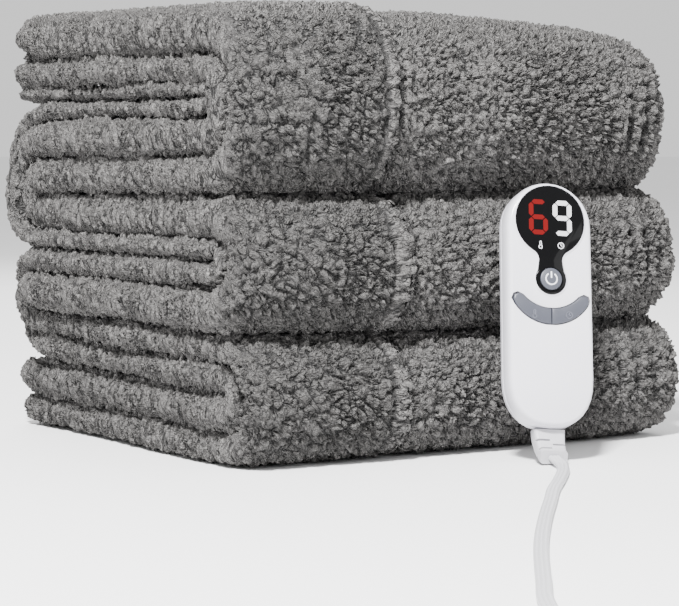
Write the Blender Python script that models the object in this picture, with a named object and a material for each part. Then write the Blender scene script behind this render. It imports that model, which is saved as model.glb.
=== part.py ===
"""A folded electric heated blanket with its hand controller and lead.

One sheet of thick pile fleece is folded over four times into a strip, with a short flap on
the outside, and the strip is laid back and forth in six runs. The controller leans on the
front of the stack, and its flat lead runs forward over the floor into a coil with its plug.

Metres, +Z up. X runs along the front of the stack, -Y is the front.
"""
import math

import bmesh
import bpy
from mathutils import Matrix, Vector

MM = 0.001
TOUCH = 0.3 * MM  # gap left between pieces that rest on each other

# ---------------------------------------------------------------- the folded blanket
STACK_WIDTH = 304 * MM
STACK_DEPTH = 283 * MM
STACK_X = 3 * MM  # the stack's middle, from the middle of what stack and controller cover
STACK_Y = 25.7 * MM
LAYER_GAP = 0.9 * MM  # between two layers of cloth that lie on each other
FLOOR_SKIN = LAYER_GAP / 2
FOLD_REACH = 8 * MM  # how far a fold's round edge reaches past its straight part
FOLD_BLEND = 30 * MM  # the layers lie evenly from here inwards
TUCKED = -12 * MM  # an edge further in than this is hidden between its neighbours
HEM_ROUND = 3 * MM
HEM_STEP = 12 * MM  # the layers under the flap thicken over this length past its hem

LEFT = STACK_X - STACK_WIDTH / 2
RIGHT = STACK_X + STACK_WIDTH / 2
FRONT = STACK_Y - STACK_DEPTH / 2
BACK = STACK_Y + STACK_DEPTH / 2

# Heights of the surfaces between the six runs, from the top of the stack to the floor, at the
# four corners of the stack and at the middle of the front.
SURFACES = [
    # left front, left back, right front, right back, middle front
    (0.2425, 0.247, 0.239, 0.241, 0.2415),
    (0.193, 0.193, 0.190, 0.190, 0.191),
    (0.143, 0.139, 0.143, 0.141, 0.141),
    (0.108, 0.108, 0.107, 0.106, 0.104),
    (0.070, 0.073, 0.070, 0.071, 0.066),
    (0.039, 0.043, 0.036, 0.038, 0.034),
    (-FLOOR_SKIN, -FLOOR_SKIN, -FLOOR_SKIN, -FLOOR_SKIN, -FLOOR_SKIN),
]

# Each bundle is two runs joined by a round fold at the front.
BUNDLES = [
    # fold's depth, how far it stands out in front, flap's width, how far the right end stands out
    (0.047, -0.003, 0.101, -0.004),
    (0.039, -0.001, 0.108, -0.001),
    (0.040, 0.000, 0.106, 0.001),
]

# The cloth's edges at the left and right end of each run: the share of the run's thickness that
# the outer fold (flap and first layer) and the inner fold (second and third layer) take up at
# the left end, how far each edge stands out there, and the same for the folds at the right end.
ENDS = [
    # outer share, inner share, outer out, inner out, hem out, right share, right outer, right inner
    (0.52, 0.33, -0.002, 0.000, -0.003, 0.50, -0.014, 0.000),
    (0.40, 0.42, 0.003, 0.005, -0.001, 0.48, -0.008, -0.001),
    (0.68, 0.00, 0.000, -0.018, 0.004, 0.52, -0.009, 0.000),
    (0.64, 0.00, 0.010, -0.016, 0.006, 0.46, -0.008, 0.000),
    (0.51, 0.48, 0.002, -0.001, -0.016, 0.52, -0.009, 0.000),
    (0.48, 0.51, -0.009, -0.005, -0.016, 0.50, -0.009, -0.001),
]

ARC_STEPS = 4  # a fold's round edge, from face to face
FRONT_FOLD_STEPS = 10
BACK_FOLD_STEPS = 8
RUN_STEPS = 4
FOLD_POWER = 2.35  # 2 is a true ellipse, more is fatter

FLEECE_GREY = (0.205, 0.198, 0.190, 1.0)

# ---------------------------------------------------------------- the hand controller
# Its own frame has x to the right, z from the lead's end to the top, and -y out of its face.
CASE_LENGTH = 134 * MM
CASE_WIDTH = 48 * MM
CASE_DEPTH = 20 * MM
CASE_TOP_END = 24.5 * MM  # length of the round top end
CASE_LOW_END = 27 * MM
CASE_PARTING = 9 * MM  # the seam of the two halves, from the back
WINDOW_HEIGHT = 112.2 * MM  # middle of the window's circle
WINDOW_RADIUS = 19.2 * MM
BUTTON_HEIGHT = 80 * MM
BULB_RADIUS = 8.4 * MM
NECK_HALF = 6.3 * MM
NECK_FILLET = 6 * MM
RIM_WIDTH = 1.0 * MM
RIM_HEIGHT = 0.5 * MM
WINDOW_THICK = 1.6 * MM
BUTTON_RADIUS = 6.0 * MM
BUTTON_PROUD = 1.1 * MM
KEY_OUTER = 24.6 * MM  # radius of the crescent's lower arc
KEY_OUTER_HEIGHT = 79.8 * MM
KEY_INNER = 21.3 * MM
KEY_INNER_HEIGHT = 85.3 * MM
KEY_OUTER_HALF = 20.3 * MM  # half the crescent's span on its lower arc
KEY_INNER_HALF = 15.6 * MM
KEY_PROUD = 0.9 * MM
KEY_SEAT = 2.4 * MM  # depth of a button below the face
WELL_DEPTH = 3.8 * MM
RUNNING_GAP = 0.35 * MM

LEAN = math.radians(16)  # the case leans back on the stack,
TURN = math.radians(-20)  # is turned a little to the left
ROLL = math.radians(4)  # and tips a little to its right
CASE_FOOT = Vector((0.0160, -0.1428, 0.0142))  # middle of the case's lower end

RELIEF_BEND = 18 * MM
RELIEF_TURN = math.radians(64)
RELIEF_HALF_WIDTH = 8.6 * MM
RELIEF_HALF_THICK = 4.2 * MM
RELIEF_TAPER = 0.86
RELIEF_SLOTS = [
    # angle along the bend, side from which the slot is cut: 1 is the case's left
    (26, 1),
    (38, -1),
    (50, 1),
]
SLOT_WIDTH = 1.2 * MM
SLOT_REACH = 11.5 * MM

# ---------------------------------------------------------------- the lead
LEAD_WIDTH = 6.6 * MM
LEAD_THICK = 3.4 * MM
# The lead's way over the floor, from the strain relief to the coil: the first point follows from
# the relief, and the last runs into the coil along its rim.
LEAD_FLOOR_POINTS = [
    (-0.0145, -0.1919),
    (-0.0335, -0.2153),
    (-0.0562, -0.2422),
    (-0.0795, -0.2688),
    (-0.1029, -0.2952),
    (-0.1260, -0.3219),
    (-0.1487, -0.3488),
    (-0.1708, -0.3761),
    (-0.1924, -0.4038),
    (-0.2138, -0.4316),
    (-0.2322, -0.4554),
    (-0.2486, -0.4805),
    (-0.2625, -0.5013),
    (-0.2761, -0.5211),
]
COIL_MIDDLE = Vector((-0.2492, -0.5679, 0.0))
COIL_ENTRY = math.radians(146)  # where the lead runs in along the rim
COIL_INNER_TURN = 29.5 * MM  # radius of the innermost turn's middle line
COIL_RINGS = 3
COIL_LAYERS = 2
COIL_PITCH = 6.8 * MM
COIL_FLOOR = 1.2 * MM  # the tie passes under the coil
TIE_THICK = 0.8 * MM
TIE_WIDTH = 8 * MM
TIE_SLACK = 0.8 * MM  # the coil's rims curve away behind the straight tie
TAIL_LENGTH = 62 * MM
TAIL_HEADING = math.radians(-19)
PLUG_LENGTH = 34 * MM
PLUG_WIDTH = 25 * MM
PLUG_HEIGHT = 15 * MM
PLUG_TAPER = 20 * MM
BLADE_PITCH = 12.7 * MM
BLADE_SIZE = Vector((6.35 * MM, 1.5 * MM, 17 * MM))

CASE_WHITE = (0.80, 0.79, 0.83, 1.0)
WINDOW_BLACK = (0.008, 0.008, 0.010, 1.0)
KEY_GREY = (0.33, 0.34, 0.39, 1.0)
LEAD_WHITE = (0.78, 0.78, 0.79, 1.0)
BRASS = (0.72, 0.60, 0.36, 1.0)


def clear_scene():
    for item in list(bpy.data.objects):
        bpy.data.objects.remove(item, do_unlink=True)


def finish_material(name, colour, roughness, metallic=0.0):
    material = bpy.data.materials.new(name)
    material.use_nodes = True
    shader = material.node_tree.nodes["Principled BSDF"]
    shader.inputs["Base Color"].default_value = colour
    shader.inputs["Roughness"].default_value = roughness
    shader.inputs["Metallic"].default_value = metallic
    return material


def add_mesh_object(name, form, material):
    """Turns a bmesh into a named object with its material."""
    form.normal_update()
    bmesh.ops.recalc_face_normals(form, faces=form.faces[:])
    mesh = bpy.data.meshes.new(name)
    form.to_mesh(mesh)
    form.free()
    mesh.materials.append(material)
    thing = bpy.data.objects.new(name, mesh)
    bpy.context.scene.collection.objects.link(thing)
    return thing


def mix(a, b, share):
    return a + (b - a) * share


def ramp(value, start, end):
    return min(1.0, max(0.0, (value - start) / (end - start)))


def ease(value):
    value = min(1.0, max(0.0, value))
    return value * value * (3 - 2 * value)


def surface_height(index, x, y):
    """Height of the surface between two runs, from the stack's corners."""
    left_front, left_back, right_front, right_back, middle_front = SURFACES[index]
    across = (x - LEFT) / STACK_WIDTH
    deep = (y - FRONT) / STACK_DEPTH
    front = mix(left_front, right_front, across)
    sag = (middle_front - (left_front + right_front) / 2) * math.sin(math.pi * across) * (1 - deep)
    height = mix(front, mix(left_back, right_back, across), deep) + sag
    if index == 0:
        height -= 0.016 * ease((x - RIGHT + 0.070) / 0.070)
    return height


def face_relief(x, bundle, turn):
    """How far the outer face stands proud: the flap's edge, and soft lumps along the fold."""
    flap_edge = LEFT + BUNDLES[bundle][2]
    if x <= flap_edge:
        step = 0.002 * ease((x - LEFT - 0.03) / 0.05)
    else:
        step = -0.0030 * (1 - ease((x - flap_edge - 0.005) / 0.075))
    lumps = 0.0012 * math.sin(41 * x + 2.1 * bundle + 1.3 * turn) + 0.0008 * math.sin(87 * x - 1.7 * bundle)
    ends = -0.004 * (1 - ease((x - LEFT) / 0.03)) - 0.010 * ease((x - RIGHT + 0.035) / 0.035)
    return step + lumps + ends


def fold_radius(angle, depth, height):
    """Radius of a fat ellipse in the direction of the angle."""
    across = abs(math.cos(angle)) / depth
    up = abs(math.sin(angle)) / height
    return (across**FOLD_POWER + up**FOLD_POWER) ** (-1 / FOLD_POWER)


def place_in_bundle(bundle, y_middle, angle, x, share):
    """A point of the strip where it folds round the front: share is 0 inside and 1 outside."""
    fold_depth = BUNDLES[bundle][0]
    middle = surface_height(2 * bundle + 1, x, y_middle)
    if math.sin(angle) >= 0:
        height = surface_height(2 * bundle, x, y_middle) - LAYER_GAP / 2 - middle
    else:
        height = middle - surface_height(2 * bundle + 2, x, y_middle) - LAYER_GAP / 2
    turned = -math.cos(angle)
    outer = fold_radius(angle, fold_depth, height)
    radius = LAYER_GAP / 2 + (outer - LAYER_GAP / 2) * share
    proud = face_relief(x, bundle, angle) * share
    y = y_middle + radius * math.cos(angle) - proud * ease(turned * 1.3)
    z = middle + radius * math.sin(angle)
    if bundle == 0 and math.sin(angle) > 0:
        z += proud * math.sin(angle)
    return (y, z)


def place_in_back_fold(bundle, y_middle, angle, x, share):
    """A point of the strip where it folds round the back, with its outer face inside the fold."""
    middle = surface_height(2 * bundle + 2, x, y_middle)
    if math.sin(angle) >= 0:
        height = surface_height(2 * bundle + 1, x, y_middle) - LAYER_GAP / 2 - middle
    else:
        height = middle - surface_height(2 * bundle + 3, x, y_middle) - LAYER_GAP / 2
    outer = fold_radius(angle, BACK - y_middle, height)
    radius = LAYER_GAP / 2 + (outer - LAYER_GAP / 2) * (1 - share)
    return (y_middle + radius * math.cos(angle), middle + radius * math.sin(angle))


def edge_wave(run, edge, y):
    """The wander of one fold's edge along its length."""
    start = 1.9 * run + 2.7 * edge
    return 0.0016 * math.sin(38 * y + start) + 0.0011 * math.sin(83 * y + 2.3 * start)


def strip_section(ends, flap_edge, right_edge, thickness, waves, deep):
    """The strip's outline across its width, as (x, share of the thickness) from inside to outside.

    The path goes from the flap's hem round the left outer fold, along the first layer, round the
    right outer fold, and so on to the hem of the fourth layer, and back along the other side.
    """
    outer_share, inner_share, outer_out, inner_out, hem_out, right_share, right_outer, right_inner = ends
    gap = LAYER_GAP / 2 / thickness
    knee = LEFT + FOLD_REACH + 3 * MM
    inside = LEFT + FOLD_BLEND
    last_knot = RIGHT - 40 * MM

    def level(index, x):
        """Share of the thickness at which two layers meet: 0 is the flap's outside."""
        left = (1.0, 1 - outer_share / 2, 1 - outer_share, 1 - outer_share - inner_share / 2,
                1 - outer_share - inner_share, 0.0)
        even = (1.0, 0.8, 0.6, 0.4, 0.2, 0.0)
        plain = (1.0, 1.0, 0.75, 0.5, 0.25, 0.0)
        right = (1.0, 1.0, 1 - right_share / 2, 1 - right_share, (1 - right_share) / 2, 0.0)
        value = mix(left[index], even[index], ramp(x, knee, inside))
        value = mix(value, plain[index], ramp(x, flap_edge - HEM_STEP, flap_edge + HEM_STEP))
        return mix(value, right[index], ramp(x, last_knot, RIGHT - FOLD_REACH))

    def round_edge(x_tip, side, upper, lower):
        """Points round a fold's edge, from its upper face to its lower face."""
        points = []
        for step in range(ARC_STEPS + 1):
            turn = math.pi * step / ARC_STEPS
            x = x_tip - side * FOLD_REACH * (1 - math.sin(turn))
            top = level(upper, x) - (gap if upper else 0.0)
            bottom = level(lower, x) + (gap if lower < 5 else 0.0)
            points.append((x, mix(bottom, top, (1 + math.cos(turn)) / 2)))
        return points

    spread = mix(0.4, 1.0, deep)
    left_outer, left_inner, left_hem = (
        LEFT - (out if out < TUCKED else out * spread) + wave
        for out, wave in zip((outer_out, inner_out, hem_out), waves)
    )
    right_tip_outer = right_edge + right_outer + waves[3]
    right_tip_inner = right_edge + right_inner + waves[4]
    layer = 9 * MM
    knots = (inside, flap_edge - HEM_STEP, flap_edge + HEM_STEP, last_knot)
    outer_knee = max(knee, left_outer + FOLD_REACH + 1 * MM)
    inner_knee = max(knee, left_inner + FOLD_REACH + 1 * MM)
    hem_knee = max(knee, left_hem + FOLD_REACH)

    def straight(index, side, xs):
        return [(x, level(index, x) + side * gap) for x in xs]

    outer_end = right_tip_outer - layer
    inner_end = right_tip_inner - layer
    first_top = (flap_edge + 5 * MM, flap_edge + 45 * MM, last_knot)
    outline = [(flap_edge - HEM_ROUND, 1.0), (inside, 1.0)]
    outline += round_edge(left_outer, -1, 0, 2)
    outline += straight(2, 1, (outer_knee,) + knots + (outer_end,))
    outline += straight(2, -1, (outer_end,) + knots[::-1] + (inner_knee,))
    outline += round_edge(left_inner, -1, 2, 4)
    outline += straight(4, 1, (inner_knee,) + knots + (inner_end,))
    outline += straight(4, -1, (inner_end,) + knots[::-1] + (hem_knee, left_hem + HEM_ROUND))
    hem_middle = (level(4, left_hem + HEM_ROUND) - gap) / 2
    outline += [(left_hem, hem_middle), (left_hem + HEM_ROUND, 0.0)]
    outline += [(x, 0.0) for x in knots]
    outline += round_edge(right_tip_inner, 1, 3, 5)[::-1]
    outline += straight(3, -1, knots[::-1] + (left_inner + layer,))
    outline += straight(3, 1, (left_inner + layer,) + knots)
    outline += round_edge(right_tip_outer, 1, 0, 3)[::-1]
    outline += [(x, 1.0) for x in first_top[::-1]]
    outline += straight(1, -1, (flap_edge - 4 * MM, inside, left_outer + layer))
    outline += straight(1, 1, (left_outer + layer, inside, flap_edge - HEM_ROUND))
    outline.append((flap_edge, (1 + level(1, flap_edge - HEM_ROUND)) / 2))
    return outline


def strip_stations():
    """Where the strip's section stands along its length, from the free end on top."""
    stations = []
    for bundle, (fold_depth, stand_out, _flap, _right) in enumerate(BUNDLES):
        front_middle = FRONT - stand_out + fold_depth
        back_middle = BACK - 0.042
        start = BACK - 0.004 if bundle == 0 else back_middle
        end = BACK - 0.002 if bundle == 2 else back_middle
        for step in range(RUN_STEPS):
            y = mix(start, front_middle, step / RUN_STEPS)
            stations.append((place_in_bundle, bundle, y, math.pi / 2, 2 * bundle))
        for step in range(FRONT_FOLD_STEPS + 1):
            turn = step / FRONT_FOLD_STEPS
            angle = math.pi * (0.5 + turn)
            stations.append((place_in_bundle, bundle, front_middle, angle, 2 * bundle + ease(turn)))
        for step in range(1, RUN_STEPS + 1):
            y = mix(front_middle, end, step / RUN_STEPS)
            stations.append((place_in_bundle, bundle, y, 1.5 * math.pi, 2 * bundle + 1))
        if bundle < 2:
            for step in range(1, BACK_FOLD_STEPS):
                turn = step / BACK_FOLD_STEPS
                angle = math.pi * (0.5 - turn)
                stations.append((place_in_back_fold, bundle, back_middle, angle, 2 * bundle + 1 + ease(turn)))
    return stations


def station_ring(station):
    """The strip's outline at one station, as points in space."""
    place, bundle, y_middle, angle, run = station
    lower = min(int(run), 5)
    upper = min(lower + 1, 5)
    share = run - lower
    ends = [mix(a, b, share) for a, b in zip(ENDS[lower], ENDS[upper])]
    next_bundle = min(2, int(run / 2 + 0.5)) if place is place_in_back_fold else bundle
    flap_edge = LEFT + mix(BUNDLES[bundle][2], BUNDLES[next_bundle][2], share)
    right_edge = RIGHT + mix(BUNDLES[bundle][3], BUNDLES[next_bundle][3], share)
    y_probe = y_middle + 0.04 * math.cos(angle)
    waves = [edge_wave(run / 2, edge, y_probe) for edge in range(5)]
    y_out, z_out = place(bundle, y_middle, angle, 0.0, 1.0)
    y_in, z_in = place(bundle, y_middle, angle, 0.0, 0.0)
    thickness = math.hypot(y_out - y_in, z_out - z_in)
    deep = (y_probe - FRONT) / STACK_DEPTH
    ring = []
    for x, level in strip_section(ends, flap_edge, right_edge, thickness, waves, deep):
        y, z = place(bundle, y_middle, angle, x, level)
        ring.append(Vector((x, y, z)))
    return ring


def build_blanket():
    """Extrudes the strip's section from station to station."""
    form = bmesh.new()
    rings = [station_ring(station) for station in strip_stations()]
    corners = [form.verts.new(point) for point in rings[0]]
    form.faces.new(corners)
    front_corners = corners
    for ring in rings[1:]:
        next_corners = [form.verts.new(point) for point in ring]
        for index in range(len(ring)):
            after = (index + 1) % len(ring)
            near, far = front_corners[index], next_corners[index]
            form.faces.new((near, front_corners[after], next_corners[after], far))
        front_corners = next_corners
    form.faces.new(front_corners[::-1])
    cloth = finish_material("blanket", FLEECE_GREY, 0.95)
    return add_mesh_object("blanket", form, cloth)


def case_frame():
    """Places the controller's own frame in the part."""
    turned = Matrix.Rotation(TURN, 4, "Z") @ Matrix.Rotation(-LEAN, 4, "X") @ Matrix.Rotation(ROLL, 4, "Y")
    return Matrix.Translation(CASE_FOOT) @ turned


def case_outline(margin):
    """The case's outline seen from the front, drawn in by the margin, in its own x and z."""
    half = CASE_WIDTH / 2 - margin
    points = []
    for step in range(17):
        turn = math.pi * step / 16
        x = half * math.cos(turn)
        z = CASE_LENGTH - CASE_TOP_END + (CASE_TOP_END - margin) * math.sin(turn)
        points.append((x, z))
    for step in range(17):
        turn = math.pi * (1 + step / 16)
        across, down = math.cos(turn), max(0.0, -math.sin(turn))
        x = half * math.copysign(abs(across) ** 0.88, across)
        z = CASE_LOW_END - (CASE_LOW_END - margin) * down**0.88
        points.append((x, z))
    return points


def keyhole_outline(margin):
    """The window's outline: a circle and a small bulb, joined by a neck with hollow sides."""
    circle, bulb, neck = WINDOW_RADIUS - margin, BULB_RADIUS - margin, NECK_HALF - margin
    fillet = NECK_FILLET + margin
    side = neck + fillet
    fillet_z = WINDOW_HEIGHT - math.sqrt((circle + fillet) ** 2 - side**2)
    start = math.atan2(fillet_z - WINDOW_HEIGHT, side)
    low = math.asin(min(1.0, neck / bulb))
    points = []
    for step in range(29):
        turn = mix(start, math.pi - start, step / 28)
        points.append((circle * math.cos(turn), WINDOW_HEIGHT + circle * math.sin(turn)))
    left = []
    sweep = abs(start)
    for step in range(1, 6):
        turn = mix(sweep, 0.0, step / 5)
        left.append((-side + fillet * math.cos(turn), fillet_z + fillet * math.sin(turn)))
    for step in range(1, 14):
        turn = mix(math.pi / 2 + low, 1.5 * math.pi, step / 13)
        left.append((bulb * math.cos(turn), BUTTON_HEIGHT + bulb * math.sin(turn)))
    points += left
    points += [(-x, z) for x, z in left[-2::-1]]
    return points


def crescent_outline(side, margin):
    """One half of the crescent: side is -1 on the left and 1 on the right."""
    outer, inner = KEY_OUTER - margin, KEY_INNER + margin
    outer_end = math.asin(KEY_OUTER_HALF / KEY_OUTER)
    inner_end = math.asin(KEY_INNER_HALF / KEY_INNER)
    split = max(margin, 0.0)
    points = []
    for step in range(9):
        turn = mix(split / outer, outer_end, step / 8)
        points.append((outer * math.sin(turn), KEY_OUTER_HEIGHT - outer * math.cos(turn)))
    first = points[-1]
    last = (inner * math.sin(inner_end), KEY_INNER_HEIGHT - inner * math.cos(inner_end))
    across = Vector((last[0] - first[0], last[1] - first[1]))
    middle = Vector((first[0] + last[0], first[1] + last[1])) / 2
    outwards = Vector((across.y, -across.x)).normalized()
    for step in range(1, 4):
        turn = math.pi * step / 4
        reach = outwards * (0.55 * across.length * math.sin(turn) - margin)
        spot = middle - across * (math.cos(turn) / 2) + reach
        points.append((spot.x, spot.y))
    for step in range(8, -1, -1):
        turn = mix(split / inner, inner_end, step / 8)
        points.append((inner * math.sin(turn), KEY_INNER_HEIGHT - inner * math.cos(turn)))
    return [(side * x, z) for x, z in points]


def circle_outline(radius, height, steps=24):
    turns = [2 * math.pi * step / steps for step in range(steps)]
    return [(radius * math.cos(turn), height + radius * math.sin(turn)) for turn in turns]


def sweep_form(sections):
    """A closed body through sections, each a list of points in space."""
    form = bmesh.new()
    loops = [[form.verts.new(point) for point in section] for section in sections]
    for near, far in zip(loops, loops[1:]):
        for index in range(len(near)):
            after = (index + 1) % len(near)
            form.faces.new((near[index], near[after], far[after], far[index]))
    form.faces.new(loops[0][::-1])
    form.faces.new(loops[-1])
    return form


def layered_form(layers):
    """A closed body through outlines that lie behind each other, each with its own y."""
    return sweep_form([[(x, y, z) for x, z in outline] for outline, y in layers])


def cut_or_join(thing, form, operation):
    """Cuts a form out of a thing, or joins it on, and keeps the form as a wire guide."""
    guide = add_mesh_object(f"{thing.name}_{operation.lower()}", form, thing.data.materials[0])
    guide.hide_render = True
    guide.display_type = "WIRE"
    guide.matrix_world = thing.matrix_world
    change = thing.modifiers.new(operation.lower(), "BOOLEAN")
    change.operation = operation
    change.solver = "EXACT"
    change.object = guide
    return guide


def build_case(holder):
    """The two halves of the case, the window, the power button and the crescent's two keys."""
    white = finish_material("case_plastic", CASE_WHITE, 0.32)
    black = finish_material("window_plastic", WINDOW_BLACK, 0.08)
    grey = finish_material("key_plastic", KEY_GREY, 0.45)
    face = -CASE_DEPTH
    seam = -CASE_PARTING

    front = layered_form([
        (case_outline(0.3 * MM), seam - TOUCH / 2),
        (case_outline(0.0), seam - 0.5 * MM),
        (case_outline(0.3 * MM), face + 3.2 * MM),
        (case_outline(1.0 * MM), face + 1.2 * MM),
        (case_outline(1.7 * MM), face + 0.4 * MM),
        (case_outline(2.6 * MM), face),
    ])
    front_shell = add_mesh_object("front_shell", front, white)
    rim = layered_form([
        (keyhole_outline(-RIM_WIDTH), face + 1.5 * MM),
        (keyhole_outline(-RIM_WIDTH), face - RIM_HEIGHT * 0.6),
        (keyhole_outline(-RIM_WIDTH * 0.6), face - RIM_HEIGHT),
    ])
    cut_or_join(front_shell, rim, "UNION")
    window_floor = face - RIM_HEIGHT + WINDOW_THICK + TOUCH
    seat = layered_form([(keyhole_outline(-TOUCH), window_floor), (keyhole_outline(-TOUCH), face - 5 * MM)])
    cut_or_join(front_shell, seat, "DIFFERENCE")
    well_floor = face + WELL_DEPTH
    wells = [("button_well", circle_outline(BUTTON_RADIUS + RUNNING_GAP, BUTTON_HEIGHT))]
    key_well = crescent_outline(-1, -RUNNING_GAP)
    whole = [point for point in key_well if point[0] < -0.01 * MM]
    mirrored = [(-x, z) for x, z in whole[::-1]]
    wells.append(("key_well", whole + mirrored))
    for name, outline in wells:
        well = layered_form([(outline, well_floor), (outline, face - 5 * MM)])
        cut_or_join(front_shell, well, "DIFFERENCE").name = name

    back = layered_form([
        (case_outline(5.0 * MM), 0.0),
        (case_outline(2.6 * MM), -0.7 * MM),
        (case_outline(1.1 * MM), -2.2 * MM),
        (case_outline(0.3 * MM), -4.6 * MM),
        (case_outline(0.0), seam + 0.5 * MM),
        (case_outline(0.3 * MM), seam + TOUCH / 2),
    ])
    back_shell = add_mesh_object("back_shell", back, white)

    window = layered_form([
        (keyhole_outline(0.0), window_floor - TOUCH),
        (keyhole_outline(0.0), face - RIM_HEIGHT + 0.25 * MM),
        (keyhole_outline(0.35 * MM), face - RIM_HEIGHT),
    ])
    display_window = add_mesh_object("display_window", window, black)
    hole = circle_outline(BUTTON_RADIUS + RUNNING_GAP, BUTTON_HEIGHT)
    cut_or_join(display_window, layered_form([(hole, face + 5 * MM), (hole, face - 5 * MM)]), "DIFFERENCE")

    def add_button(name, outline_at, proud, centre):
        """A button with a soft edge, its origin at the centre of its seat."""
        seat = Vector((centre[0], face + KEY_SEAT, centre[1]))
        form = layered_form([
            (outline_at(0.0), face + KEY_SEAT),
            (outline_at(0.0), face - proud + 0.4 * MM),
            (outline_at(0.15 * MM), face - proud + 0.15 * MM),
            (outline_at(0.5 * MM), face - proud),
        ])
        form.transform(Matrix.Translation(-seat))
        button = add_mesh_object(name, form, grey)
        button.location = seat
        return button

    def round_button(margin):
        return circle_outline(BUTTON_RADIUS - margin, BUTTON_HEIGHT)

    def left_key(margin):
        return crescent_outline(-1, margin + 0.2 * MM)

    def right_key(margin):
        return crescent_outline(1, margin + 0.2 * MM)

    key_x = (KEY_OUTER_HALF + KEY_INNER_HALF) / 4
    key_z = (KEY_OUTER_HEIGHT - KEY_OUTER + KEY_INNER_HEIGHT - KEY_INNER) / 2
    pieces = [
        front_shell,
        back_shell,
        display_window,
        add_button("power_button", round_button, BUTTON_PROUD, (0.0, BUTTON_HEIGHT)),
        add_button("temp_key", left_key, KEY_PROUD, (-key_x, key_z)),
        add_button("timer_key", right_key, KEY_PROUD, (key_x, key_z)),
    ]
    for piece in pieces:
        piece.parent = holder
        for change in piece.modifiers:
            change.object.parent = holder


def relief_frame(turn):
    """A frame on the relief's middle line: x across, y out of its back, z the lead's way."""
    forward = CASE_DEPTH / 2 + RELIEF_BEND * (1 - math.cos(turn))
    spot = Matrix.Translation((0, -forward, -RELIEF_BEND * math.sin(turn)))
    return case_frame() @ spot @ Matrix.Rotation(-turn, 4, "X") @ Matrix.Rotation(math.pi, 4, "Y")


def rounded_rectangle(half_width, half_height, radius, steps=3):
    points = []
    for x_side, y_side, first in ((1, 1, 0.0), (-1, 1, 0.5), (-1, -1, 1.0), (1, -1, 1.5)):
        for step in range(steps + 1):
            turn = math.pi * (first + step / steps / 2)
            x = x_side * (half_width - radius) + radius * math.cos(turn)
            y = y_side * (half_height - radius) + radius * math.sin(turn)
            points.append((x, y))
    return points


def box_form(low, high, frame):
    """A plain box between two corners of a frame."""
    form = bmesh.new()
    bmesh.ops.create_cube(form, size=1.0)
    size = Vector(high) - Vector(low)
    middle = (Vector(high) + Vector(low)) / 2
    form.transform(frame @ Matrix.Translation(middle) @ Matrix.Diagonal((*size, 1.0)))
    return form


def build_relief():
    """The slotted strain relief, bent forward to the floor."""
    white = finish_material("relief_plastic", CASE_WHITE, 0.42)
    steps = 12
    gap = TOUCH / RELIEF_BEND
    sections = []
    for step in range(steps + 1):
        share = step / steps
        size = mix(1.0, RELIEF_TAPER, ease(share))
        frame = relief_frame(mix(gap, RELIEF_TURN, share))
        outline = rounded_rectangle(RELIEF_HALF_WIDTH * size, RELIEF_HALF_THICK * size, 1.8 * MM)
        sections.append([frame @ Vector((x, y, 0)) for x, y in outline])
    relief = add_mesh_object("strain_relief", sweep_form(sections), white)
    for angle, side in RELIEF_SLOTS:
        frame = relief_frame(math.radians(angle))
        for face in (-1, 1):
            ends = sorted((side * 12 * MM, side * (12 * MM - SLOT_REACH)))
            depth = sorted((face * 8 * MM, face * 1.9 * MM))
            slot = box_form((ends[0], depth[0], -SLOT_WIDTH / 2), (ends[1], depth[1], SLOT_WIDTH / 2), frame)
            cut_or_join(relief, slot, "DIFFERENCE")
    return relief


def smooth_route(points, spacing):
    """Points at even spacing along a smooth curve through the route's own points, none below the floor."""
    padded = [points[0] * 2 - points[1]] + points + [points[-1] * 2 - points[-2]]
    fine = []
    for index in range(1, len(padded) - 2):
        before, here, there, beyond = padded[index - 1:index + 3]
        for step in range(24):
            t = step / 24
            spot = here * 2 + (there - before) * t
            spot += (before * 2 - here * 5 + there * 4 - beyond) * t * t
            spot += (here * 3 - before - there * 3 + beyond) * t * t * t
            fine.append(spot / 2)
    fine.append(points[-1])
    reach = [0.0]
    for near, far in zip(fine, fine[1:]):
        reach.append(reach[-1] + (far - near).length)
    count = max(2, round(reach[-1] / spacing))
    even, index = [], 0
    for step in range(count + 1):
        goal = reach[-1] * step / count
        while index < len(reach) - 2 and reach[index + 1] < goal:
            index += 1
        share = (goal - reach[index]) / (reach[index + 1] - reach[index])
        spot = fine[index].lerp(fine[index + 1], min(1.0, share))
        spot.z = max(spot.z, LEAD_THICK / 2)
        even.append(spot)
    return even


def add_tube(name, route, material):
    """A plain tube along a route, as thick as the lead."""
    curve = bpy.data.curves.new(name, "CURVE")
    curve.dimensions = "3D"
    curve.bevel_depth = LEAD_THICK / 2
    curve.bevel_resolution = 2
    curve.use_fill_caps = True
    spline = curve.splines.new("POLY")
    spline.points.add(len(route) - 1)
    for spot, point in zip(spline.points, route):
        spot.co = (*point, 1.0)
    curve.materials.append(material)
    tube = bpy.data.objects.new(name, curve)
    bpy.context.scene.collection.objects.link(tube)


def coil_rim():
    """Outer radius of the wound coil."""
    return COIL_INNER_TURN + (COIL_RINGS - 1) * COIL_PITCH + LEAD_WIDTH / 2


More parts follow.
